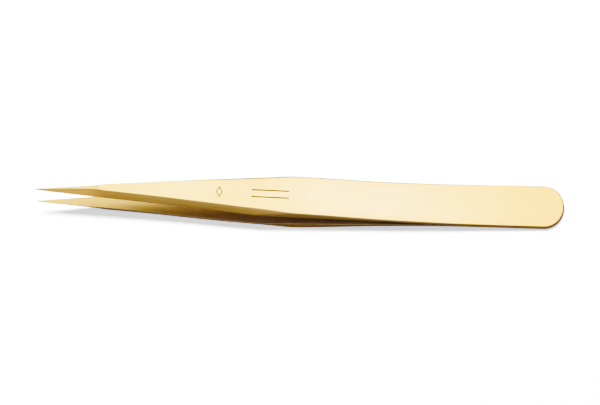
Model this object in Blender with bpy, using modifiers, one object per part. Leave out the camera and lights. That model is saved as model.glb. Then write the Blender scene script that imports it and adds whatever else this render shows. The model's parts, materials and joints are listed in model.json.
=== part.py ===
"""Pointed stamp tongs (precision tweezers): two identical brass arms soldered together at the tail.

Each arm is one strip of metal, thin at the tail where it works as a leaf spring, thick at the
finger grip, and ground on both sides to a fine point. The two arms mirror each other about the
middle plane of the tongs. An arm is measured here in its own frame:
    s  distance from the tail end towards the point, along the middle plane
    y  across the width
    h  distance out from the middle plane
An arm bends at its thin leaf, so it is cut there into a tail half, which is fixed, and a blade
half, which turns about the middle of the leaf.

The tongs lie on one arm, as on a table: the outer face of the lower arm and the corner of the
tail touch z = 0. +X runs towards the tail, +Y across the arms, +Z up.
"""

import math

import bmesh
import bpy
import numpy as np

MM = 0.001

# ---------------------------------------------------------------- driving dimensions, in mm
LENGTH = 125.0              # tail end to points
TAIL_WIDTH = 10.2           # width of the strip just behind the round tail end
SHOULDER_WIDTH = 9.50       # width of the strip where the taper to the point starts
TAIL_ROUND_LENGTH = 4.8     # half axis of the elliptical tail end, along the arm
SHOULDER_AT = 62.5          # s of the finger grip's shoulder

SOLDER_THICKNESS = 0.06
SOLDER_CLEARANCE = 0.02     # between the solder and each arm, so that the solids only just miss
SOLDER_LENGTH = 18.5
SOLDER_INSET = 0.12         # the solder stops this far inside the arms' edges

HINGE_AT = 33.0             # s of the middle of the leaf, where the arm bends
HINGE_GAP = 0.10            # slot between the tail half and the blade half
CLOSE_DEG = 2.62            # each arm's turn from open to points together
CLOSED_CLEARANCE = 0.015    # each point's distance from the middle plane when closed

POINT_ZONE_AT = 110.0       # s where the finer grind of the point starts
REST_FACE = (68.0, 92.0)    # the outer face is flat between these
EDGE_ROUND = 0.25           # rounding of the strip's long edges, fading out towards the point
EDGE_ROUND_FADE = (84.0, 109.0)

# outer and inner faces of an arm, (s, h)
OUTER_TAIL = 0.05 + 0.81
OUTER_POINT = (LENGTH, 4.60)
OUTER_POINT_ZONE = (POINT_ZONE_AT, 6.95)
REST_SLOPE = 0.0603         # of the outer face against the middle plane, over the rest face

INNER_TAIL = SOLDER_THICKNESS / 2 + SOLDER_CLEARANCE
INNER_KNOTS = [
    (0.0, INNER_TAIL), (20.0, INNER_TAIL), (25.0, 0.08), (29.5, 0.18), (34.0, 0.38),
    (38.8, 0.66), (43.5, 0.95), (48.0, 1.24), (53.0, 1.52), (57.7, 1.74), (62.5, 1.95),
    (70.0, 2.34), (76.0, 2.70), (82.0, 2.90), (90.0, 3.09), (100.0, 3.31),
]

# the ground sides of the blade: the inner face's half width, and how far the sides lean in for
# each mm of thickness. The point is ground once more, with more lean.
GRIND_HALF_WIDTH = [
    (52.0, 6.40), (66.0, 5.20), (71.5, 4.74), (77.0, 4.27), (86.0, 3.42), (95.6, 2.55),
    (105.0, 1.77), (111.0, 1.30), (117.0, 0.82), (125.0, 0.14),
]
GRIND_LEAN = [
    (52.0, 0.10), (60.0, 0.18), (66.0, 0.23), (72.0, 0.26), (77.0, 0.25), (86.0, 0.21),
    (95.0, 0.195), (108.0, 0.20), (111.5, 0.26), (116.0, 0.28), (125.0, 0.28),
]


# ---------------------------------------------------------------- shape of an arm
def smooth_through(knots, s):
    """Height at s on a smooth curve through the knots that never overshoots them."""
    x = np.array([k[0] for k in knots])
    y = np.array([k[1] for k in knots])
    step = np.diff(x)
    rise = np.diff(y) / step
    slope = np.zeros(len(x))
    slope[0], slope[-1] = rise[0], rise[-1]
    for i in range(1, len(x) - 1):
        if rise[i - 1] * rise[i] > 0:
            a, b = 2 * step[i] + step[i - 1], step[i] + 2 * step[i - 1]
            slope[i] = (a + b) / (a / rise[i - 1] + b / rise[i])
    i = int(np.clip(np.searchsorted(x, s) - 1, 0, len(x) - 2))
    t = (s - x[i]) / step[i]
    return (
        (2 * t**3 - 3 * t**2 + 1) * y[i]
        + (t**3 - 2 * t**2 + t) * step[i] * slope[i]
        + (3 * t**2 - 2 * t**3) * y[i + 1]
        + (t**3 - t**2) * step[i] * slope[i + 1]
    )


def rest_line(s):
    """The line that the tongs rest on, from the tail's corner along the flat outer face."""
    return OUTER_TAIL + REST_SLOPE * s


OUTER_KNOTS = [
    (0.0, OUTER_TAIL), (14.0, OUTER_TAIL + 0.01), (24.6, 0.96), (29.3, 1.09), (34.0, 1.32),
    (38.8, 1.63), (43.5, 2.05), (48.2, 2.63), (53.0, 3.30), (57.7, 3.96), (60.3, 4.27),
    (SHOULDER_AT, 4.52), (REST_FACE[0], rest_line(REST_FACE[0])),
]
FORE_KNOTS = [
    (REST_FACE[1], rest_line(REST_FACE[1])), (97.0, 6.64), (103.0, 6.83), OUTER_POINT_ZONE,
]


def outer_height(s):
    if s <= REST_FACE[0]:
        return smooth_through(OUTER_KNOTS, s)
    if s <= REST_FACE[1]:
        return rest_line(s)
    if s <= POINT_ZONE_AT:
        return smooth_through(FORE_KNOTS, s)
    t = (s - POINT_ZONE_AT) / (LENGTH - POINT_ZONE_AT)
    return OUTER_POINT_ZONE[1] + t * (OUTER_POINT[1] - OUTER_POINT_ZONE[1])


HINGE_H = (smooth_through(OUTER_KNOTS, HINGE_AT) + smooth_through(INNER_KNOTS, HINGE_AT)) / 2


def gripping_line(s):
    """The inner face of the point: flat, and on the middle plane once the arm has turned shut."""
    turn = math.radians(CLOSE_DEG)
    reach = (s - HINGE_AT) * math.sin(turn)
    return HINGE_H + (CLOSED_CLEARANCE - HINGE_H + reach) / math.cos(turn)


def inner_height(s):
    if s >= POINT_ZONE_AT:
        return gripping_line(s)
    return smooth_through(INNER_KNOTS + [(POINT_ZONE_AT, gripping_line(POINT_ZONE_AT))], s)


def half_width(s, inset=0.0):
    """Half the width of the strip, before the sides are ground: it has a round tail end."""
    t = (s - TAIL_ROUND_LENGTH) / (SHOULDER_AT - TAIL_ROUND_LENGTH)
    width = TAIL_WIDTH / 2 + t * (SHOULDER_WIDTH - TAIL_WIDTH) / 2
    if s < TAIL_ROUND_LENGTH:
        back = (TAIL_ROUND_LENGTH - s) / (TAIL_ROUND_LENGTH - inset)
        width = TAIL_WIDTH / 2 * math.sqrt(max(0.0, 1 - back * back))
    return max(0.0, width - inset)


def stations(start, end, step):
    return list(np.linspace(start, end, max(2, round((end - start) / step) + 1)))


# ---------------------------------------------------------------- Blender helpers
for old in list(bpy.data.objects):
    bpy.data.objects.remove(old)

tongs = bpy.data.collections.new("stamp_tongs")
helpers = bpy.data.collections.new("cutters")
for collection in (tongs, helpers):
    bpy.context.scene.collection.children.link(collection)


def as_mesh(obj):
    """The object's evaluated mesh, modifiers included, with coinciding points made one."""
    bpy.context.view_layer.update()
    graph = bpy.context.evaluated_depsgraph_get()
    mesh = bpy.data.meshes.new_from_object(obj.evaluated_get(graph))
    work = bmesh.new()
    work.from_mesh(mesh)
    bmesh.ops.remove_doubles(work, verts=work.verts, dist=1e-6)
    bmesh.ops.recalc_face_normals(work, faces=work.faces)
    work.to_mesh(mesh)
    work.free()
    return mesh


def outline(name, points, thickness):
    """A flat closed outline in the curve's own XY plane, extruded to a thickness: a mesh object."""
    curve = bpy.data.curves.new(name, "CURVE")
    curve.dimensions = "2D"
    curve.fill_mode = "BOTH"
    curve.extrude = thickness * MM / 2
    spline = curve.splines.new("POLY")
    spline.points.add(len(points) - 1)
    for point, (a, b) in zip(spline.points, points):
        point.co = (a * MM, b * MM, 0.0, 1.0)
    spline.use_cyclic_u = True
    flat = bpy.data.objects.new(name + "_outline", curve)
    helpers.objects.link(flat)
    solid = bpy.data.objects.new(name, as_mesh(flat))
    bpy.data.objects.remove(flat)
    helpers.objects.link(solid)
    return solid


def as_cutter(obj):
    obj.hide_render = True
    obj.display_type = "WIRE"
    return obj


def boolean(obj, operation, cutter):
    cut = obj.modifiers.new(f"{operation.lower()}_{cutter.name}", "BOOLEAN")
    cut.operation = operation
    cut.solver = "EXACT"
    cut.object = cutter


def grind_cutter(name, start, end, count):
    """A block beside the arm whose near face leans in over the arm, as the sides are ground."""
    bpy.ops.mesh.primitive_grid_add(x_subdivisions=count, y_subdivisions=1, size=1.0)
    block = bpy.context.object
    block.name = name
    for user in list(block.users_collection):
        user.objects.unlink(block)
    helpers.objects.link(block)
    # the grid's x runs from the shoulder to past the point, its y up the side of the arm
    work = bmesh.new()
    work.from_mesh(block.data)
    for vertex in work.verts:
        s = start + (vertex.co.x + 0.5) * (end - start)
        h = 14.0 if vertex.co.y > 0 else -3.0
        at = min(s, LENGTH)
        y = smooth_through(GRIND_HALF_WIDTH, at) - smooth_through(GRIND_LEAN, at) * (h - inner_height(at))
        vertex.co = (-s * MM, y * MM, h * MM)
    side = bmesh.ops.extrude_face_region(work, geom=work.faces[:])["geom"]
    for vertex in (v for v in side if isinstance(v, bmesh.types.BMVert)):
        vertex.co.y = 14 * MM
    bmesh.ops.recalc_face_normals(work, faces=work.faces)
    work.to_mesh(block.data)
    work.free()
    return as_cutter(block)


def mirrored(cutter, name):
    """The same cutter on the arm's other side."""
    twin = bpy.data.objects.new(name, cutter.data.copy())
    helpers.objects.link(twin)
    twin.data.transform(((1, 0, 0, 0), (0, -1, 0, 0), (0, 0, 1, 0), (0, 0, 0, 1)))
    twin.data.flip_normals()
    return as_cutter(twin)


def half_of(mesh, name, cut_at, keep_tail, origin):
    """The tail half or the blade half of an arm's mesh, closed at the cut, moved to its origin."""
    work = bmesh.new()
    work.from_mesh(mesh)
    cut = bmesh.ops.bisect_plane(
        work,
        geom=work.verts[:] + work.edges[:] + work.faces[:],
        plane_co=(-cut_at * MM, 0, 0),
        plane_no=(-1 if keep_tail else 1, 0, 0),
        clear_outer=True,
    )
    edges = [e for e in cut["geom_cut"] if isinstance(e, bmesh.types.BMEdge)]
    bmesh.ops.edgenet_fill(work, edges=edges)
    bmesh.ops.recalc_face_normals(work, faces=work.faces)
    bmesh.ops.translate(work, verts=work.verts, vec=[-c * MM for c in origin])
    half = bpy.data.meshes.new(name)
    work.to_mesh(half)
    work.free()
    half.shade_smooth()
    half.set_sharp_from_angle(angle=math.radians(20))
    return half


def material(name, colour, metallic, roughness):
    made = bpy.data.materials.new(name)
    made.use_nodes = True
    shader = made.node_tree.nodes["Principled BSDF"]
    shader.inputs["Base Color"].default_value = (*colour, 1.0)
    shader.inputs["Metallic"].default_value = metallic
    shader.inputs["Roughness"].default_value = roughness
    return made


def place(name, mesh, parent, location, turned, finish):
    obj = bpy.data.objects.new(name, mesh)
    tongs.objects.link(obj)
    obj.parent = parent
    obj.location = [c * MM for c in location]
    obj.rotation_euler = (math.pi if turned else 0.0, 0.0, 0.0)
    if not mesh.materials:
        mesh.materials.append(finish)
    return obj


# ---------------------------------------------------------------- one arm
# side view: the strip's outer and inner faces, extruded across the width
side_s = stations(0, 20, 10) + stations(22, REST_FACE[0], 2.3) + stations(*REST_FACE, 24)[1:]
side_s += stations(REST_FACE[1], POINT_ZONE_AT, 4.5)[1:] + [LENGTH]
side = [(-s, outer_height(s)) for s in side_s]
side += [(-s, inner_height(s)) for s in reversed(side_s)]
blank = outline("arm_blank", side, TAIL_WIDTH + 4)
blank.rotation_euler = (math.pi / 2, 0, 0)
bpy.context.view_layer.update()
blank.data.transform(blank.matrix_world)
blank.rotation_euler = (0, 0, 0)

# top view: the round tail end and the strip's long edges
round_s = [TAIL_ROUND_LENGTH * (1 - math.cos(a)) for a in stations(0, math.pi / 2, math.pi / 20)]
plan_s = round_s + [SHOULDER_AT, LENGTH + 5]
plan = [(-s, half_width(s)) for s in plan_s[1:]]
plan = [(0.0, 0.0)] + plan + [(x, -y) for x, y in reversed(plan)]
strip = as_cutter(outline("strip_outline", plan, 40.0))

grind = grind_cutter("side_grind", 52.0, LENGTH + 2, 30)

boolean(blank, "INTERSECT", strip)
boolean(blank, "DIFFERENCE", grind)
boolean(blank, "DIFFERENCE", mirrored(grind, "side_grind_far"))
ground = as_mesh(blank)
as_cutter(blank)

# the edges are rounded, less and less towards the point; where the tails are soldered together
# their inner edges stay sharp, so that the joint closes flush
work = bmesh.new()
work.from_mesh(ground)
bmesh.ops.dissolve_degenerate(work, dist=2e-5, edges=work.edges)
weight = work.edges.layers.float.new("bevel_weight_edge")
for e in work.edges:
    if e.is_manifold and e.calc_face_angle() > math.radians(40):
        s = -(e.verts[0].co.x + e.verts[1].co.x) / 2 / MM
        h = (e.verts[0].co.z + e.verts[1].co.z) / 2 / MM
        fade = (EDGE_ROUND_FADE[1] - s) / (EDGE_ROUND_FADE[1] - EDGE_ROUND_FADE[0])
        if h < (inner_height(s) + outer_height(s)) / 2:
            fade = min(fade, (s - SOLDER_LENGTH - 3) / 8)
        e[weight] = min(1.0, max(0.0, fade))
work.to_mesh(ground)
work.free()
rounded = bpy.data.objects.new("arm_rounded", ground)
helpers.objects.link(rounded)
bevel = rounded.modifiers.new("edges", "BEVEL")
bevel.limit_method = "WEIGHT"
bevel.width = EDGE_ROUND * MM
bevel.segments = 2
bevel.use_clamp_overlap = False
arm = as_mesh(rounded)
as_cutter(rounded)

# ---------------------------------------------------------------- the tongs
brass = material("satin_brass", (0.89, 0.72, 0.38), 1.0, 0.28)
solder = material("hard_solder", (0.72, 0.66, 0.50), 1.0, 0.40)

tilt = math.atan(REST_SLOPE)
middle = bpy.data.objects.new("middle_plane", None)
tongs.objects.link(middle)
middle.rotation_euler = (0, tilt, 0)
highest_point = OUTER_POINT[1]
reach = LENGTH * math.cos(tilt) + highest_point * math.sin(tilt)
middle.location = (
    (reach - OUTER_TAIL * math.sin(tilt)) / 2 * MM,
    0,
    OUTER_TAIL * math.cos(tilt) * MM,
)

tail_half = half_of(arm, "arm_tail", HINGE_AT - HINGE_GAP / 2, True, (0, 0, 0))
hinge = (-HINGE_AT, 0, HINGE_H)
blade_half = half_of(arm, "arm_blade", HINGE_AT + HINGE_GAP / 2, False, hinge)

place("upper_arm_tail", tail_half, middle, (0, 0, 0), False, brass)
place("lower_arm_tail", tail_half, middle, (0, 0, 0), True, brass)
place("upper_arm_blade", blade_half, middle, hinge, False, brass)
place("lower_arm_blade", blade_half, middle, (-HINGE_AT, 0, -HINGE_H), True, brass)

# the thin layer of solder between the tails, a little smaller than them
edge = TAIL_ROUND_LENGTH
layer_s = [SOLDER_INSET + (edge - SOLDER_INSET) * (1 - math.cos(a)) for a in stations(0, math.pi / 2, math.pi / 16)]
layer = [(-s, half_width(s, SOLDER_INSET)) for s in layer_s[1:] + [SOLDER_LENGTH]]
layer = [(-SOLDER_INSET, 0.0)] + layer + [(x, -y) for x, y in reversed(layer)]
layer_obj = outline("solder_layer", layer, SOLDER_THICKNESS)
solder_mesh = layer_obj.data
bpy.data.objects.remove(layer_obj)
place("tail_solder_joint", solder_mesh, middle, (0, 0, 0), False, solder)
bpy.context.view_layer.update()
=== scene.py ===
"""Looks of the pointed brass stamp tongs: each arm as one continuous strip, its material, floor, light and camera."""

import json
import math

import bmesh
import bpy
import numpy as np
from mathutils import Matrix, Vector
from mathutils.geometry import delaunay_2d_cdt


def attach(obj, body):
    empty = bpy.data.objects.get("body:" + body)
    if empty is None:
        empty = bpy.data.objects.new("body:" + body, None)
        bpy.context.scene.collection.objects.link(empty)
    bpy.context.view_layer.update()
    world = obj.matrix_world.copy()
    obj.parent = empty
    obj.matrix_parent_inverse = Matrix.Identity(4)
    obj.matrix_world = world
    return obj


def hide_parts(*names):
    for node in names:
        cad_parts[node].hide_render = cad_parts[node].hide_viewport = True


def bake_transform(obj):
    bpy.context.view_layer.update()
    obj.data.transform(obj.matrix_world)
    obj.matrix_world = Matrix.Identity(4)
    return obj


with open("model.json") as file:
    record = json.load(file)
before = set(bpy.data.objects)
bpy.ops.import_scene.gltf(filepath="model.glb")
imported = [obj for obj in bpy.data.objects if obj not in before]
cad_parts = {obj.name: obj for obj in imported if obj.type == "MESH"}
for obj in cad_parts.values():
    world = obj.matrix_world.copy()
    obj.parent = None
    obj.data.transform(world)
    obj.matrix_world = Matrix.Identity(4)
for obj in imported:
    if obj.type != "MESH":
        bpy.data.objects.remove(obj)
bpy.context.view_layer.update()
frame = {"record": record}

MM = 0.001

# ---------------------------------------------------------------- the arm's shape, in mm
# s runs from the tail end to the point along the middle plane, y across, h out from the middle plane
LENGTH = 125.0
TAIL_WIDTH = 10.2
SHOULDER_WIDTH = 9.50
TAIL_ROUND_LENGTH = 4.8
SHOULDER_AT = 62.5
HINGE_AT = 33.0
CLOSE_DEG = 2.62
CLOSED_CLEARANCE = 0.015
POINT_ZONE_AT = 110.0
REST_FACE = (68.0, 92.0)
OUTER_TAIL = 0.86
OUTER_POINT = (LENGTH, 4.60)
OUTER_POINT_ZONE = (POINT_ZONE_AT, 6.95)
REST_SLOPE = 0.0603
INNER_TAIL = 0.05
INNER_KNOTS = [
    (0.0, INNER_TAIL), (20.0, INNER_TAIL), (25.0, 0.08), (29.5, 0.18), (34.0, 0.38),
    (38.8, 0.66), (43.5, 0.95), (48.0, 1.24), (53.0, 1.52), (57.7, 1.74), (62.5, 1.95),
    (70.0, 2.34), (76.0, 2.70), (82.0, 2.90), (90.0, 3.09), (100.0, 3.31),
]
GRIND_HALF_WIDTH = [
    (52.0, 6.40), (66.0, 5.20), (71.5, 4.74), (77.0, 4.27), (86.0, 3.42), (95.6, 2.55),
    (105.0, 1.77), (111.0, 1.30), (117.0, 0.82), (125.0, 0.14),
]
GRIND_LEAN = [
    (52.0, 0.10), (60.0, 0.18), (66.0, 0.23), (72.0, 0.26), (77.0, 0.25), (86.0, 0.21),
    (95.0, 0.195), (108.0, 0.20), (111.5, 0.26), (116.0, 0.28), (125.0, 0.28),
]


def smooth_through(knots, s):
    """Height at s on a smooth curve through the knots that never overshoots them."""
    x = np.array([k[0] for k in knots])
    y = np.array([k[1] for k in knots])
    step = np.diff(x)
    rise = np.diff(y) / step
    slope = np.zeros(len(x))
    slope[0], slope[-1] = rise[0], rise[-1]
    for i in range(1, len(x) - 1):
        if rise[i - 1] * rise[i] > 0:
            a, b = 2 * step[i] + step[i - 1], step[i] + 2 * step[i - 1]
            slope[i] = (a + b) / (a / rise[i - 1] + b / rise[i])
    i = int(np.clip(np.searchsorted(x, s) - 1, 0, len(x) - 2))
    t = (s - x[i]) / step[i]
    return (
        (2 * t**3 - 3 * t**2 + 1) * y[i]
        + (t**3 - 2 * t**2 + t) * step[i] * slope[i]
        + (3 * t**2 - 2 * t**3) * y[i + 1]
        + (t**3 - t**2) * step[i] * slope[i + 1]
    )


def rest_line(s):
    return OUTER_TAIL + REST_SLOPE * s


OUTER_KNOTS = [
    (0.0, OUTER_TAIL), (14.0, OUTER_TAIL + 0.01), (24.6, 0.96), (29.3, 1.09), (34.0, 1.32),
    (38.8, 1.63), (43.5, 2.05), (48.2, 2.63), (53.0, 3.30), (57.7, 3.96), (60.3, 4.27),
    (SHOULDER_AT, 4.52), (REST_FACE[0], rest_line(REST_FACE[0])),
]
FORE_KNOTS = [
    (REST_FACE[1], rest_line(REST_FACE[1])), (97.0, 6.64), (103.0, 6.83), OUTER_POINT_ZONE,
]


def outer_height(s):
    if s <= REST_FACE[0]:
        return smooth_through(OUTER_KNOTS, s)
    if s <= REST_FACE[1]:
        return rest_line(s)
    if s <= POINT_ZONE_AT:
        return smooth_through(FORE_KNOTS, s)
    t = (s - POINT_ZONE_AT) / (LENGTH - POINT_ZONE_AT)
    return OUTER_POINT_ZONE[1] + t * (OUTER_POINT[1] - OUTER_POINT_ZONE[1])


HINGE_H = (smooth_through(OUTER_KNOTS, HINGE_AT) + smooth_through(INNER_KNOTS, HINGE_AT)) / 2


def gripping_line(s):
    turn = math.radians(CLOSE_DEG)
    return HINGE_H + (CLOSED_CLEARANCE - HINGE_H + (s - HINGE_AT) * math.sin(turn)) / math.cos(turn)


FULL_INNER = INNER_KNOTS + [(POINT_ZONE_AT, gripping_line(POINT_ZONE_AT))]


def inner_height(s):
    return gripping_line(s) if s >= POINT_ZONE_AT else smooth_through(FULL_INNER, s)


def strip_half_width(s):
    t = (max(s, TAIL_ROUND_LENGTH) - TAIL_ROUND_LENGTH) / (SHOULDER_AT - TAIL_ROUND_LENGTH)
    return TAIL_WIDTH / 2 + t * (SHOULDER_WIDTH - TAIL_WIDTH) / 2


def smooth_min(a, b, k):
    """The lesser of a and b, with the corner where they meet rounded over a width of k."""
    t = max(0.0, 1 - abs(a - b) / k)
    return min(a, b) - t * t * k / 4


def half_width(s, h):
    """Half width of the arm at s, at height h: the strip's edge, or the ground side where that cuts in."""
    width = strip_half_width(s)
    if s > 50:
        at = max(s, GRIND_HALF_WIDTH[0][0])
        ground = smooth_through(GRIND_HALF_WIDTH, at) - smooth_through(GRIND_LEAN, at) * (h - inner_height(s))
        width = smooth_min(width, ground, 0.16)
    return width


def fade(s, start, end):
    t = min(1.0, max(0.0, (s - start) / (end - start)))
    return t * t * (3 - 2 * t)


def lerp(a, b, t):
    return a + (b - a) * t


# ---------------------------------------------------------------- the frame of the arms
joints = {j["name"]: Vector(j["pos_m"]) for j in frame["record"]["behaviour"]["joints"]}
pivot_up, pivot_low = joints["upper_arm_flex"], joints["lower_arm_flex"]
OUT = (pivot_up - pivot_low).normalized()          # square to the middle plane, up
TAILWARD = Vector((OUT.z, 0, -OUT.x))              # along the middle plane, towards the tail
TAIL_POINT = (pivot_up + pivot_low) / 2 + TAILWARD * HINGE_AT * MM


def place(s, y, h, side):
    """The world point of an arm's s, y, h; side is 1 for the upper arm and -1 for the lower one."""
    return TAIL_POINT - TAILWARD * (s * MM) + Vector((0, y * MM, 0)) + OUT * (side * h * MM)


# ---------------------------------------------------------------- one arm as one mesh
ARC = 5                   # segments of a rounded edge
SIDE_ROWS = 7             # points down a side, between its rounded edges
FACE_SHARES = [0.0, 0.02, 0.25, 0.5, 0.75, 1.0]    # from a face's edge to its centre line


def corner_arc(corner, back, ahead, radius):
    """A rounded corner in the section plane: points from the back side to the side ahead."""
    back, ahead = back.normalized(), ahead.normalized()
    half = back.angle(ahead) / 2
    reach = radius / math.tan(half)
    centre = corner + (back + ahead).normalized() * (radius / math.sin(half))
    a, b = corner + back * reach - centre, corner + ahead * reach - centre
    swing = a.angle(b)
    return [
        centre + (a * math.sin((1 - k / ARC) * swing) + b * math.sin(k / ARC * swing)) / math.sin(swing)
        for k in range(ARC + 1)
    ]


CHAMFER = [(1.15, 0.0), (0.95, 0.035), (0.80, 0.18), (0.18, 0.80), (0.035, 0.95), (0.0, 1.15)]


def chamfer(corner, back, ahead, leg):
    """A broken edge in the section plane: a narrow flat with its two corners eased."""
    back, ahead = back.normalized(), ahead.normalized()
    return [corner + back * (a * leg) + ahead * (b * leg) for a, b in CHAMFER]


def section(s, end=0.0, lower=False):
    """Right half of the section at s: (y, h, edge) down the side, from the outer face to the inner one.
    edge is 1 on a broken edge and 0 elsewhere. end is 1 at the very tail, where the edge is broken more widely.
    The lower arm's outer edges are crisp along the shank and broken widely behind the point."""
    top, low = outer_height(s), inner_height(s)
    y_top, y_low = half_width(s, top), half_width(s, low)
    thick = top - low
    leg = lerp(lerp(0.15, 0.26, fade(s, 20, 40)), 0.060, fade(s, 74, 104))
    leg = lerp(leg, 0.30, end)
    if lower:
        leg = lerp(0.4 * leg, 0.34, fade(s, 86, 99) - fade(s, 106, 116))
    leg = min(leg, 0.38 * thick, 0.35 * y_top)
    r_in = lerp(0.020, 0.026, fade(s, 20, 34))
    r_in = min(r_in, 0.30 * thick, 0.30 * y_low)
    down_top = Vector((half_width(s, top - 0.05 * thick) - y_top, -0.05 * thick))
    up_low = Vector((half_width(s, low + 0.05 * thick) - y_low, 0.05 * thick))
    outer = chamfer(Vector((y_top, top)), Vector((-1, 0)), down_top, leg)
    inner = corner_arc(Vector((y_low, low)), up_low, Vector((-1, 0)), r_in)
    points = [(p.x, p.y, 1.0 if 1 < k < ARC - 1 else 0.3) for k, p in enumerate(outer)]
    for k in range(1, SIDE_ROWS + 1):
        t = k / (SIDE_ROWS + 1)
        t = lerp(t, (1 - math.cos(math.pi * t)) / 2, 0.7)
        h = lerp(outer[-1].y, inner[0].y, t)
        points.append((half_width(s, h), h, 0.0))
    points += [(p.x, p.y, math.sin(math.pi * k / ARC) ** 0.5 if 0 < k < ARC else 0.25) for k, p in enumerate(inner)]
    return points


def stations():
    """Places along the arm, closer together where its shape changes fast."""
    out = []
    s = TAIL_ROUND_LENGTH
    while s < LENGTH - 0.3:
        out.append(s)
        near_ridge = min(abs(s - POINT_ZONE_AT), 6)
        step = 0.7
        if s > 50:
            step = 0.5
        if near_ridge < 1.2:
            step = 0.2
        if s > 119:
            step = 0.3
        if 20 < s < 50:
            step = 0.6
        out_next = s + step
        s = out_next
    out += [LENGTH - 0.3, LENGTH - 0.15, LENGTH - 0.06]
    return out


def mark_outlines():
    """Outlines in (s, y) of the plain engraved mark: two fine rules, and a small open lozenge."""
    rules = []
    for y, start, end in ((0.86, 65.3, 73.9), (-0.86, 65.3, 73.9)):
        rule = []
        for k in range(13):
            a = math.pi * k / 12
            rule.append((end + 0.16 * math.sin(a), y + 0.16 * math.cos(a)))
        for k in range(13):
            a = math.pi * (1 + k / 12)
            rule.append((start + 0.16 * math.sin(a), y + 0.16 * math.cos(a)))
        rules.append((rule, None))
    centre = (81.6, 0.0)
    lozenge = [[(centre[0] + a * r * 0.62, centre[1] + b * r) for a, b in ((1, 0), (0, 1), (-1, 0), (0, -1))] for r in (1.35, 0.92)]
    return rules + [(lozenge[0], lozenge[1])]


def inside(point, outline):
    x, y = point
    hit = False
    for k in range(len(outline)):
        (ax, ay), (bx, by) = outline[k - 1], outline[k]
        if (ay > y) != (by > y) and x < (bx - ax) * (y - ay) / (by - ay) + ax:
            hit = not hit
    return hit


# the lower arm bows a little to the near side along its shank
SWAY = [(0.0, 0.0), (22.0, 0.0), (44.0, -0.12), (66.0, -0.17), (79.0, -0.17), (90.0, -0.07), (97.0, 0.0), (LENGTH, 0.0)]
MARK_DEPTH = 0.07
MARK_WINDOW = (64.4, 83.1)


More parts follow.
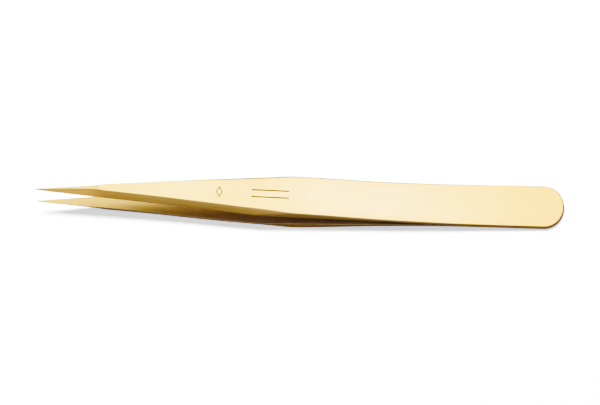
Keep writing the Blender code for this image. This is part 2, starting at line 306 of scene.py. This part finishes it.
def arm_mesh(name, side, marked):
    """One arm as a closed mesh, with its own s, y, h, its finish zones and the distance in from a face's edge as attributes."""
    verts, data, faces = [], [], []
    count = 2 * len(FACE_SHARES) + 2 * (ARC + 1) + SIDE_ROWS

    def add(s, y, h, zone, rim=3.0):
        verts.append(place(s, y + (smooth_through(SWAY, s) if side < 0 else 0.0), h, side))
        data.append(((s, y, h), zone, rim))
        return len(verts) - 1

    def half(outline, normal, s_section, centre, end=0.0):
        """The points of half a section, set square to the outline. centre is where its faces end."""
        rows = []
        width = strip_half_width(s_section)
        side_points = section(s_section, end, side < 0)
        first, last = side_points[0], side_points[-1]
        top, low = outer_height(s_section), inner_height(s_section)

        def at(y):
            back = width - y
            return (outline[0] - normal[0] * back, outline[1] - normal[1] * back)

        for share in reversed(FACE_SHARES[1:]):
            edge = at(first[0])
            p = (lerp(edge[0], centre[0], share), lerp(edge[1], centre[1], share))
            rows.append((p[0], p[1], top, (1.0, 0.0, 0.0, 0.0), math.dist(p, edge)))
        for k, (y, h, edge) in enumerate(side_points):
            p = at(y)
            if k <= ARC:
                face = 1 - k / ARC
                zone = (face, 0.0, edge, 0.0)
            elif k >= len(side_points) - ARC - 1:
                face = (k - (len(side_points) - ARC - 1)) / ARC
                zone = (0.0, face, edge, 0.0)
            else:
                zone = (0.0, 0.0, 0.0, 0.0)
            rows.append((p[0], p[1], h, zone, 0.0))
        for share in FACE_SHARES[1:]:
            edge = at(last[0])
            p = (lerp(edge[0], centre[0], share), lerp(edge[1], centre[1], share))
            rows.append((p[0], p[1], low, (0.0, 1.0, 0.0, 0.0), math.dist(p, edge)))
        return rows

    rings = []
    around = 26
    for k in range(around):
        turn = math.pi / 2 * k / around
        a, b = TAIL_ROUND_LENGTH, TAIL_WIDTH / 2
        normal = Vector((-math.cos(turn) / a, math.sin(turn) / b)).normalized()
        outline = (a * (1 - math.cos(turn)), b * math.sin(turn))
        rows = half(outline, normal, TAIL_ROUND_LENGTH, (a, 0.0), math.cos(turn) ** 2)
        rings.append(([add(*r) for r in rows], [add(r[0], -r[1], *r[2:]) for r in rows]))
    along = stations()
    for s in along:
        rows = half((s, strip_half_width(s)), (0, 1), s, (s, 0.0))
        rings.append(([add(*r) for r in rows], [add(r[0], -r[1], *r[2:]) for r in rows]))
    # the very tip: two smaller sections and a point, so that it isn't a sharp-edged stub
    rows = half((LENGTH, strip_half_width(LENGTH)), (0, 1), LENGTH, (LENGTH, 0.0))
    middle_h = (outer_height(LENGTH) + inner_height(LENGTH)) / 2
    for shrink, s in ((0.93, LENGTH - 0.025), (0.70, LENGTH - 0.004), (0.35, LENGTH)):
        small = [(s, r[1] * shrink, middle_h + (r[2] - middle_h) * shrink, r[3], r[4] * shrink) for r in rows]
        rings.append(([add(*r) for r in small], [add(r[0], -r[1], *r[2:]) for r in small]))
    tip = add(LENGTH, 0, middle_h, (0, 0, 1, 0))

    face_columns = len(FACE_SHARES) - 2            # quads of a face on one side of the centre line
    window = [
        k for k, s in enumerate(along) if MARK_WINDOW[0] <= s <= MARK_WINDOW[1]
    ]
    window = (around + window[0], around + window[-1]) if marked else (0, 0)
    for j in range(len(rings) - 1):
        for which in (0, 1):
            one, two = rings[j][which], rings[j + 1][which]
            for i in range(count - 3):
                if window[0] <= j < window[1] and i < face_columns:
                    continue
                quad = [one[i], one[i + 1], two[i + 1], two[i]]
                faces.append(quad if which == 0 else quad[::-1])
    for which in (0, 1):
        last = rings[-1][which]
        for i in range(len(last) - 1):
            tri = [last[i], last[i + 1], tip]
            faces.append(tri if which == 0 else tri[::-1])

    if marked:
        # the flat window round the mark, cut by its outlines; what lies inside them is sunk
        edge_loop = [rings[j][0][face_columns] for j in range(window[0], window[1] + 1)]
        edge_loop += [rings[window[1]][0][i] for i in range(face_columns - 1, -1, -1)]
        edge_loop += [rings[window[1]][1][i] for i in range(1, face_columns + 1)]
        edge_loop += [rings[j][1][face_columns] for j in range(window[1] - 1, window[0] - 1, -1)]
        edge_loop += [rings[window[0]][1][i] for i in range(face_columns - 1, -1, -1)]
        edge_loop += [rings[window[0]][0][i] for i in range(1, face_columns)]
        flat = [Vector(data[i][0][:2]) for i in edge_loop]
        constraints = [(k, (k + 1) % len(edge_loop)) for k in range(len(edge_loop))]
        for ring in mark_outlines():
            for loop in ring:
                if loop:
                    base = len(flat)
                    flat += [Vector(p) for p in loop]
                    constraints += [(base + k, base + (k + 1) % len(loop)) for k in range(len(loop))]
        # spare points between the marks, so that the window follows the face where it curves
        for j in range(window[0] + 1, window[1]):
            s = along[j - around]
            for y in (-2.4, -1.7, 0.0, 1.7, 2.4):
                if j % 2 == 0 and abs(y) < strip_half_width(s) - 1.5 and abs(s - 81.6) > 1.2:
                    flat.append(Vector((s, y)))
        out, _, tris, origin, _, _ = delaunay_2d_cdt(flat, constraints, [], 1, 1e-5)
        top_of = {}
        low_of = {}
        outlines = mark_outlines()

        def top_vertex(k):
            if k not in top_of:
                known = [o for o in origin[k] if o < len(edge_loop)]
                top_of[k] = edge_loop[known[0]] if known else add(out[k].x, out[k].y, outer_height(out[k].x), (1, 0, 0, 0))
            return top_of[k]

        def low_vertex(k):
            if k not in low_of:
                low_of[k] = add(out[k].x, out[k].y, outer_height(out[k].x) - MARK_DEPTH, (1, 0, 0, 1.0))
            return low_of[k]

        sunk_edges = {}
        for tri in tris:
            centre = sum((out[k] for k in tri), Vector((0, 0))) / 3
            sunk = any(inside(centre, a) and not (b and inside(centre, b)) for a, b in outlines)
            if sunk:
                faces.append([low_vertex(k) for k in tri])
                for k in range(3):
                    e = (tri[k], tri[(k + 1) % 3])
                    if (e[1], e[0]) in sunk_edges:
                        del sunk_edges[(e[1], e[0])]
                    else:
                        sunk_edges[e] = True
            else:
                faces.append([top_vertex(k) for k in tri])
        for a, b in sunk_edges:
            faces.append([top_vertex(a), top_vertex(b), low_vertex(b), low_vertex(a)])

    mesh = bpy.data.meshes.new(name)
    work = bmesh.new()
    layer_s = work.verts.layers.float_vector.new("arm_mm")
    layer_z = work.verts.layers.float_color.new("zone")
    layer_r = work.verts.layers.float.new("rim_mm")
    made = []
    for co, (where, zone, rim) in zip(verts, data):
        v = work.verts.new(co)
        v[layer_s] = where
        v[layer_z] = zone
        v[layer_r] = rim
        made.append(v)
    for f in faces:
        corners = [made[i] for i in f]
        if len(set(corners)) > 2 and work.faces.get(corners) is None:
            work.faces.new(corners)
    bmesh.ops.remove_doubles(work, verts=work.verts, dist=4e-7)
    bmesh.ops.dissolve_degenerate(work, dist=1e-7, edges=work.edges)
    loose = [v for v in work.verts if not v.link_faces]
    bmesh.ops.delete(work, geom=loose, context="VERTS")
    bmesh.ops.recalc_face_normals(work, faces=work.faces)
    for f in work.faces:
        f.smooth = True
    for e in work.edges:
        if e.is_manifold and e.calc_face_angle() > math.radians(38):
            e.smooth = False
    open_edges = sum(1 for e in work.edges if not e.is_manifold)
    print(name, "faces", len(work.faces), "open edges", open_edges)
    work.to_mesh(mesh)
    work.free()
    obj = bpy.data.objects.new(name, mesh)
    bpy.context.scene.collection.objects.link(obj)
    return obj


# ---------------------------------------------------------------- materials
class Nodes:
    """Short calls for building a node tree."""

    def __init__(self, name):
        self.material = bpy.data.materials.new(name)
        self.material.use_nodes = True
        self.tree = self.material.node_tree
        self.shader = self.tree.nodes["Principled BSDF"]

    def node(self, kind, inputs=None, **settings):
        made = self.tree.nodes.new(kind)
        for key, value in settings.items():
            setattr(made, key, value)
        for key, value in (inputs or {}).items():
            socket = made.inputs[key]
            if isinstance(value, bpy.types.NodeSocket):
                self.tree.links.new(value, socket)
            else:
                socket.default_value = value
        return made

    def math(self, operation, a, b=0.0, c=0.0, clamp=False):
        return self.node("ShaderNodeMath", {0: a, 1: b, 2: c}, operation=operation, use_clamp=clamp).outputs[0]

    def mix(self, factor, a, b, blend="MIX"):
        made = self.node("ShaderNodeMix", {0: factor, 6: a, 7: b}, data_type="RGBA", blend_type=blend)
        return made.outputs[2]

    def value(self, value, a, b, to_a, to_b, smooth=False):
        made = self.node(
            "ShaderNodeMapRange",
            {0: value, 1: a, 2: b, 3: to_a, 4: to_b},
            interpolation_type="SMOOTHSTEP" if smooth else "LINEAR",
        )
        return made.outputs[0]

    def ramp(self, value, start, end, stops):
        """A colour that runs through the stops, (value, colour) pairs between start and end."""
        share = self.value(value, start, end, 0.0, 1.0)
        made = self.node("ShaderNodeValToRGB", {0: share})
        made.color_ramp.interpolation = "EASE"
        band = made.color_ramp.elements
        while len(band) < len(stops):
            band.new(0.5)
        for element, (at, colour) in zip(band, stops):
            element.position = (at - start) / (end - start)
        for element, (at, colour) in zip(band, stops):
            element.color = colour
        return made.outputs[0]

    def stretched(self, vector, scale):
        return self.node("ShaderNodeVectorMath", {0: vector, 1: scale}, operation="MULTIPLY").outputs[0]

    def noise(self, vector, scale, detail=2.0, rough=0.5, distortion=0.0):
        made = self.node(
            "ShaderNodeTexNoise",
            {"Vector": vector, "Scale": scale, "Detail": detail, "Roughness": rough, "Distortion": distortion},
        )
        return made.outputs[0]

    def link(self, value, socket):
        self.tree.links.new(value, self.shader.inputs[socket])


def rgb(r, g, b):
    return (r, g, b, 1.0)


def brass(name, seed):
    """Satin brass: pale and brushed lengthwise on its faces, deeper gold where it is ground, polished on its edges. Its
    sides, inner faces and edges also carry painted shade.
    """
    n = Nodes(name)
    where = n.node("ShaderNodeAttribute", attribute_name="arm_mm").outputs["Vector"]
    zone = n.node("ShaderNodeAttribute", attribute_name="zone")
    parts = n.node("ShaderNodeSeparateColor", {0: zone.outputs["Color"]})
    outer, inner, edge = parts.outputs[0], parts.outputs[1], parts.outputs[2]
    mark = zone.outputs["Alpha"]
    arm_s = n.node("ShaderNodeSeparateXYZ", {0: where}).outputs[0]
    shift = n.node("ShaderNodeVectorMath", {0: where, 1: (seed * 37.0, seed * 11.0, seed * 5.0)}, operation="ADD").outputs[0]

    # across a face the grain varies with y, down a side with h, so that it runs true along a taper
    face = n.math("MAXIMUM", outer, inner)
    moved = n.node("ShaderNodeSeparateXYZ", {0: shift})
    along = n.node("ShaderNodeCombineXYZ", {
        0: moved.outputs[0],
        1: n.math("MULTIPLY", moved.outputs[1], n.math("GREATER_THAN", face, 0.5)),
        2: n.math("MULTIPLY", moved.outputs[2], n.math("LESS_THAN", face, 0.5)),
    }).outputs[0]
    grain = n.noise(n.stretched(along, (0.10, 8.0, 8.0)), 1.0, 3.0, 0.6)
    coarse = n.noise(n.stretched(along, (0.035, 2.6, 2.6)), 1.0, 3.0, 0.55)
    cloud = n.noise(n.stretched(shift, (0.05, 0.16, 0.2)), 1.0, 2.0, 0.5, 0.4)
    cross = n.noise(n.stretched(shift, (11.0, 0.6, 0.6)), 1.0, 3.0, 0.6)
    # sparse hairline scratches, a little off the grain
    skew = n.node("ShaderNodeVectorRotate", {"Vector": shift, "Angle": math.radians(5 + 3 * seed)}, rotation_type="Z_AXIS").outputs[0]
    hair = n.noise(n.stretched(skew, (0.22, 9.0, 3.0)), 1.0, 1.0, 0.4)
    hair = n.value(n.math("ABSOLUTE", n.math("SUBTRACT", hair, 0.5)), 0.0, 0.012, 1.0, 0.0)
    some = n.value(n.noise(n.stretched(shift, (0.25, 0.9, 0.9)), 1.0, 1.0), 0.55, 0.68, 0.0, 1.0, True)
    hair = n.math("MULTIPLY", hair, some)

    # the sides are redder along the shank than where they are ground towards the points; this colour along the arm is
    # partly that tone and partly painted shade
    side_tone_and_painted_shade = n.ramp(arm_s, 0.0, 125.0, [
        (0.0, rgb(0.86, 0.545, 0.155)), (30.0, rgb(0.86, 0.540, 0.185)), (42.0, rgb(0.85, 0.555, 0.205)),
        (52.0, rgb(0.93, 0.595, 0.180)), (61.0, rgb(0.95, 0.610, 0.185)), (67.0, rgb(0.89, 0.585, 0.180)),
        (72.0, rgb(0.74, 0.480, 0.150)), (78.0, rgb(0.66, 0.450, 0.138)), (90.0, rgb(0.765, 0.515, 0.153)),
        (98.0, rgb(0.79, 0.527, 0.148)), (105.0, rgb(0.71, 0.468, 0.128)), (110.0, rgb(0.70, 0.462, 0.115)),
        (114.0, rgb(0.81, 0.550, 0.120)),
    ])
    side_tone_and_painted_shade = n.mix(n.value(cloud, 0.3, 0.7, 0.0, 1.0), n.mix(1.0, side_tone_and_painted_shade, rgb(0.97, 0.955, 0.89), "MULTIPLY"), side_tone_and_painted_shade)
    # the flat outer face is palest at its middle and deeper gold towards both ends, and is deepened further towards its
    # long edges and in random patches
    outer_colour = n.ramp(arm_s, 0.0, 125.0, [
        (0.0, rgb(0.81, 0.575, 0.014)), (9.0, rgb(0.835, 0.600, 0.040)), (18.0, rgb(0.855, 0.638, 0.080)),
        (30.0, rgb(0.87, 0.662, 0.150)), (38.0, rgb(0.87, 0.672, 0.185)), (56.0, rgb(0.87, 0.672, 0.185)),
        (66.0, rgb(0.86, 0.652, 0.135)), (76.0, rgb(0.855, 0.640, 0.095)), (88.0, rgb(0.86, 0.648, 0.125)),
        (98.0, rgb(0.86, 0.638, 0.110)), (108.0, rgb(0.85, 0.630, 0.060)), (118.0, rgb(0.82, 0.590, 0.078)),
    ])
    deep = n.mix(1.0, outer_colour, rgb(0.985, 0.955, 0.50), "MULTIPLY")
    arm_y = n.math("ABSOLUTE", n.node("ShaderNodeSeparateXYZ", {0: where}).outputs[1])
    near_edge = n.value(n.math("ADD", arm_y, n.value(cloud, 0.3, 0.7, -1.2, 1.2)), 2.0, 5.4, 0.0, 0.8, True)
    patch = n.value(n.noise(n.stretched(shift, (0.05, 0.30, 0.30)), 1.0, 2.0, 0.45), 0.36, 0.68, 0.0, 0.42, True)
    outer_colour = n.mix(n.math("MAXIMUM", near_edge, patch), outer_colour, deep)
    # inside the arms the metal is left duller; its colour holds painted shade, darker towards the tail where the arms
    # close over the gap and brighter towards the points
    inner_tone_and_painted_shade = n.ramp(arm_s, 40.0, 125.0, [
        (44.0, rgb(0.600, 0.402, 0.215)), (56.0, rgb(0.570, 0.402, 0.238)), (72.0, rgb(0.572, 0.404, 0.238)),
        (79.0, rgb(0.580, 0.405, 0.225)), (86.0, rgb(0.600, 0.412, 0.185)), (94.0, rgb(0.585, 0.416, 0.152)),
        (101.0, rgb(0.650, 0.468, 0.130)), (112.0, rgb(0.665, 0.485, 0.078)),
    ])
    rim = n.node("ShaderNodeAttribute", attribute_name="rim_mm").outputs["Fac"]
    # painted shade: the inner faces are darkened near their edges, short of the points, where the gap between the arms
    # lies in shade
    painted_gap_shade = n.math("MULTIPLY", n.value(rim, 0.0, 2.1, 0.52, 0.0, True), n.value(arm_s, 98.0, 110.0, 1.0, 0.0, True))
    inner_tone_and_painted_shade = n.mix(painted_gap_shade, inner_tone_and_painted_shade, n.mix(1.0, inner_tone_and_painted_shade, rgb(0.30, 0.265, 0.320), "MULTIPLY"))
    colour = n.mix(inner, side_tone_and_painted_shade, inner_tone_and_painted_shade)
    colour = n.mix(outer, colour, outer_colour)
    streak = n.value(n.math("ADD", n.math("MULTIPLY", grain, 0.6), n.math("MULTIPLY", coarse, 0.4)), 0.3, 0.7, 0.93, 1.04)
    colour = n.mix(1.0, colour, n.node("ShaderNodeCombineColor", {0: streak, 1: streak, 2: streak}).outputs[0], "MULTIPLY")
    # painted shade: the broken edges are painted a darker brown, which dims the bright line they catch
    colour = n.mix(n.math("MULTIPLY", edge, 0.80), colour, rgb(0.46, 0.34, 0.18))
    colour = n.mix(n.math("MULTIPLY", hair, 0.18), colour, rgb(0.94, 0.74, 0.34))
    colour = n.mix(n.math("MULTIPLY", mark, 0.95), colour, rgb(0.082, 0.058, 0.034))
    n.link(colour, "Base Color")

    rough = n.mix(outer, n.value(grain, 0.25, 0.75, 0.22, 0.34), n.value(grain, 0.25, 0.75, 0.27, 0.38))
    rough = n.mix(inner, rough, n.value(grain, 0.25, 0.75, 0.36, 0.48))
    rough = n.math("ADD", rough, n.value(cloud, 0.3, 0.7, -0.03, 0.03))
    rough = n.math("SUBTRACT", rough, n.math("MULTIPLY", edge, 0.10))
    rough = n.math("ADD", rough, n.math("MULTIPLY", hair, 0.08))
    rough = n.math("ADD", rough, n.math("MULTIPLY", mark, 0.25), clamp=True)
    n.link(rough, "Roughness")
    n.shader.inputs["Metallic"].default_value = 1.0
    n.shader.inputs["Specular Tint"].default_value = rgb(0.95, 0.88, 0.72)

    ground = n.math("MULTIPLY", n.value(arm_s, 107.0, 111.0, 0.0, 1.0), n.math("SUBTRACT", 1.0, n.math("MAXIMUM", outer, inner)))
    height = n.math("ADD", n.math("MULTIPLY", grain, 0.6), n.math("MULTIPLY", coarse, 0.5))
    height = n.math("SUBTRACT", height, n.math("MULTIPLY", hair, 0.5))
    height = n.math("ADD", height, n.math("MULTIPLY", n.math("MULTIPLY", cross, ground), 0.12))
    bump = n.node("ShaderNodeBump", {"Strength": 1.0, "Distance": 1.1e-6, "Height": height})
    n.link(bump.outputs[0], "Normal")
    return n.material


def solder(name):
    """Hard solder: paler and greyer than the brass, slightly pitted."""
    n = Nodes(name)
    where = n.node("ShaderNodeTexCoord").outputs["Object"]
    pits = n.noise(where, 9000.0, 3.0, 0.6)
    cloud = n.noise(where, 900.0, 2.0)
    colour = n.mix(n.value(cloud, 0.35, 0.65, 0.0, 1.0), rgb(0.52, 0.42, 0.25), rgb(0.66, 0.56, 0.38))
    colour = n.mix(n.value(pits, 0.55, 0.7, 0.0, 0.5), colour, rgb(0.30, 0.22, 0.12))
    n.link(colour, "Base Color")
    n.link(n.value(pits, 0.3, 0.7, 0.30, 0.55), "Roughness")
    n.shader.inputs["Metallic"].default_value = 1.0
    bump = n.node("ShaderNodeBump", {"Strength": 1.0, "Distance": 6e-6, "Height": pits})
    n.link(bump.outputs[0], "Normal")
    return n.material


# ---------------------------------------------------------------- the pieces
upper = arm_mesh("upper_arm", 1, True)
lower = arm_mesh("lower_arm", -1, False)
upper.data.materials.append(brass("satin_brass_upper", 1))
lower.data.materials.append(brass("satin_brass_lower", 2))


def solder_fill():
    """The solder between the tails: as thick as the gap at its middle, drawn in at its edge."""
    gap = INNER_TAIL - 0.004
    outline = []
    for k in range(31):
        turn = math.pi / 2 * k / 30
        a, b = TAIL_ROUND_LENGTH, TAIL_WIDTH / 2
        normal = Vector((-math.cos(turn) / a, math.sin(turn) / b)).normalized()
        outline.append((a * (1 - math.cos(turn)), b * math.sin(turn), normal))
    for k in range(1, 16):
        s = TAIL_ROUND_LENGTH + k * (18.2 - TAIL_ROUND_LENGTH) / 15
        outline.append((s, strip_half_width(s), Vector((0, 1))))
    # the inner end runs across in a shallow wave, as solder stops where it cools
    inner_end = [(18.5 + 0.5 * math.sin(math.pi * k / 12) + 0.12 * math.sin(2.3 * k), 5.03 * math.cos(math.pi * k / 12)) for k in range(1, 12)]
    work = bmesh.new()
    rows = []
    for level, draw in ((-1.0, 0.05), (-0.55, 0.075), (0.0, 0.085), (0.55, 0.075), (1.0, 0.05)):
        loop = [(s - nn[0] * draw, y - nn[1] * draw) for s, y, nn in outline]
        loop += inner_end
        loop += [(s - nn[0] * draw, -(y - nn[1] * draw)) for s, y, nn in reversed(outline[1:])]
        rows.append([work.verts.new(place(s, y, level * gap, 1)) for s, y in loop])
    for low, high in zip(rows, rows[1:]):
        for k in range(len(low)):
            work.faces.new([low[k - 1], low[k], high[k], high[k - 1]])
    work.faces.new(rows[0])
    work.faces.new(rows[-1])
    bmesh.ops.triangulate(work, faces=[f for f in work.faces if len(f.verts) > 4])
    bmesh.ops.recalc_face_normals(work, faces=work.faces)
    mesh = bpy.data.meshes.new("tail_solder_fill")
    work.to_mesh(mesh)
    work.free()
    obj = bpy.data.objects.new("tail_solder_fill", mesh)
    bpy.context.scene.collection.objects.link(obj)
    obj.data.materials.append(solder("hard_solder_fill"))
    return obj


fill = solder_fill()
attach(fill, "tail")
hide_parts("tail_solder_joint")

for arm, body, side in ((upper, "upper_arm", 1), (lower, "lower_arm", -1)):
    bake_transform(arm)
    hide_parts(f"{body}_tail", f"{body}_blade")

# ---------------------------------------------------------------- floor, light, camera
# glow painted on the floor for the metal's reflections, from close round the tongs outwards: a painted shadow near them
FLOOR_IN_METAL = [(at, rgb(level, level, blue * level)) for at, level, blue in (
    (0.44, 0.135, 1.2), (0.50, 0.160, 1.2), (0.57, 0.202, 1.2), (0.70, 0.216, 1.3), (0.86, 0.205, 1.25), (1.00, 0.218, 1.15),
    (1.13, 0.262, 1.15), (1.27, 0.42, 1.1), (1.50, 0.95, 1.02), (2.20, 0.52, 1.1), (3.00, 0.45, 1.0),
)]
SHADOW_FLOOR = 0.66                  # radiance of the floor in the darkest of the shadow
SHADOW_TINT = (0.93, 0.975, 1.10)

bpy.ops.mesh.primitive_plane_add(size=4.0, location=(0, 0, -0.00003))
floor = bpy.context.object
floor.name = "floor"
paper = Nodes("white_table")
rays = paper.node("ShaderNodeLightPath")
glossy = rays.outputs["Is Glossy Ray"]
seen = rays.outputs["Is Camera Ray"]
# in the metal the floor shows a painted glow in place of its lit colour: a painted shadow, dim close round the tongs,
# paler further out
spot = paper.node("ShaderNodeVectorMath", {0: paper.node("ShaderNodeNewGeometry").outputs["Position"], 1: (-0.020, 0.0, 0.0)}, operation="ADD")
spot = paper.stretched(spot.outputs[0], (1 / 0.082, 1 / 0.012, 0.0))
away = paper.node("ShaderNodeVectorMath", {0: spot}, operation="LENGTH").outputs["Value"]
painted_floor_glow_in_metal = paper.ramp(away, 0.0, 3.0, FLOOR_IN_METAL)
paper.link(paper.mix(glossy, rgb(0.90, 0.90, 0.90), rgb(0.0, 0.0, 0.0)), "Base Color")
paper.shader.inputs["Roughness"].default_value = 1.0
paper.shader.inputs["Specular IOR Level"].default_value = 0.0
shown = paper.mix(seen, rgb(0.0, 0.0, 0.0), rgb(*[SHADOW_FLOOR * c for c in SHADOW_TINT]))
paper.link(paper.mix(glossy, shown, painted_floor_glow_in_metal), "Emission Color")
paper.shader.inputs["Emission Strength"].default_value = 1.0
floor.data.materials.append(paper.material)

CEILING = (1.97, 3.04)      # radiance overhead, from the points' side to the tail's side
WALLS = 0.50

scene = bpy.context.scene
world = bpy.data.worlds.new("studio")
scene.world = world
world.use_nodes = True
tree = world.node_tree
tree.nodes.clear()
output = tree.nodes.new("ShaderNodeOutputWorld")
background = tree.nodes.new("ShaderNodeBackground")
tree.links.new(background.outputs[0], output.inputs[0])


def world_node(kind, values, **settings):
    made = tree.nodes.new(kind)
    for key, value in settings.items():
        setattr(made, key, value)
    for key, value in values.items():
        if isinstance(value, bpy.types.NodeSocket):
            tree.links.new(value, made.inputs[key])
        else:
            made.inputs[key].default_value = value
    return made


# a broad soft ceiling, brighter on the tail's side, that falls off to the walls
direction = world_node("ShaderNodeSeparateXYZ", {0: world_node("ShaderNodeTexCoord", {}).outputs["Generated"]})
ceiling = world_node(
    "ShaderNodeMapRange", {0: direction.outputs[0], 1: -0.26, 2: 0.20, 3: CEILING[0], 4: CEILING[1]}, interpolation_type="SMOOTHSTEP"
)
height = world_node("ShaderNodeMapRange", {0: direction.outputs[2], 1: 0.45, 2: 0.88, 3: 0.0, 4: 1.0}, interpolation_type="SMOOTHSTEP")
level = world_node("ShaderNodeMix", {0: height.outputs[0], 2: WALLS, 3: ceiling.outputs[0]}, data_type="FLOAT")
tree.links.new(level.outputs[0], background.inputs[1])
background.inputs[0].default_value = (1.0, 1.0, 1.0, 1.0)
# the soft ceiling shows in the metal; the floor is lit by the overhead light alone
world.cycles_visibility.diffuse = False


def softbox(name, location, size, power, colour=(1, 1, 1)):
    data = bpy.data.lights.new(name, "AREA")
    data.shape = "RECTANGLE"
    data.size, data.size_y = size
    data.energy = power
    data.color = colour
    light = bpy.data.objects.new(name, data)
    light.location = location
    light.rotation_mode = "QUATERNION"
    light.rotation_quaternion = (-Vector(location)).to_track_quat("-Z", "Y")
    scene.collection.objects.link(light)
    return light


key = softbox("key", (-0.14, 0.33, 0.95), (0.34, 0.34), 34.0)
# the broad reflections come from the ceiling; this light is only for the floor, and draws the narrow shadow
key.visible_glossy = False
blockers = bpy.data.collections.new("key_blockers")
blockers.objects.link(lower)
key.light_linking.blocker_collection = blockers

camera = bpy.data.objects.new("camera", bpy.data.cameras.new("camera"))
scene.collection.objects.link(camera)
scene.camera = camera
ELEVATION, AZIMUTH, ROLL = 70.48, 9.658, 8.852
DISTANCE = 1.3
LENS = 4.221 * 1300 * 36 / 600
back = Vector((
    math.cos(math.radians(ELEVATION)) * math.sin(math.radians(AZIMUTH)),
    -math.cos(math.radians(ELEVATION)) * math.cos(math.radians(AZIMUTH)),
    math.sin(math.radians(ELEVATION)),
))
right = Vector((0, 0, 1)).cross(back).normalized()
up = back.cross(right)
turn = math.radians(ROLL)
# turning the camera clockwise turns the picture anticlockwise
cam_right = right * math.cos(turn) - up * math.sin(turn)
cam_up = up * math.cos(turn) + right * math.sin(turn)
target = Vector((0, 0, 0.004))
camera.matrix_world = Matrix((
    (cam_right.x, cam_up.x, back.x, target.x + back.x * DISTANCE),
    (cam_right.y, cam_up.y, back.y, target.y + back.y * DISTANCE),
    (cam_right.z, cam_up.z, back.z, target.z + back.z * DISTANCE),
    (0, 0, 0, 1),
))
camera.data.sensor_width = 36
camera.data.lens = LENS
camera.data.clip_start = 0.1
camera.data.clip_end = 20
camera.data.shift_x = -(299.824 - 300) / 600
camera.data.shift_y = (202.534 - 202.5) / 600

scene.view_settings.view_transform = "AgX"
scene.view_settings.look = "AgX - Very High Contrast"
scene.view_settings.exposure = 0.0
scene.view_settings.gamma = 1.0
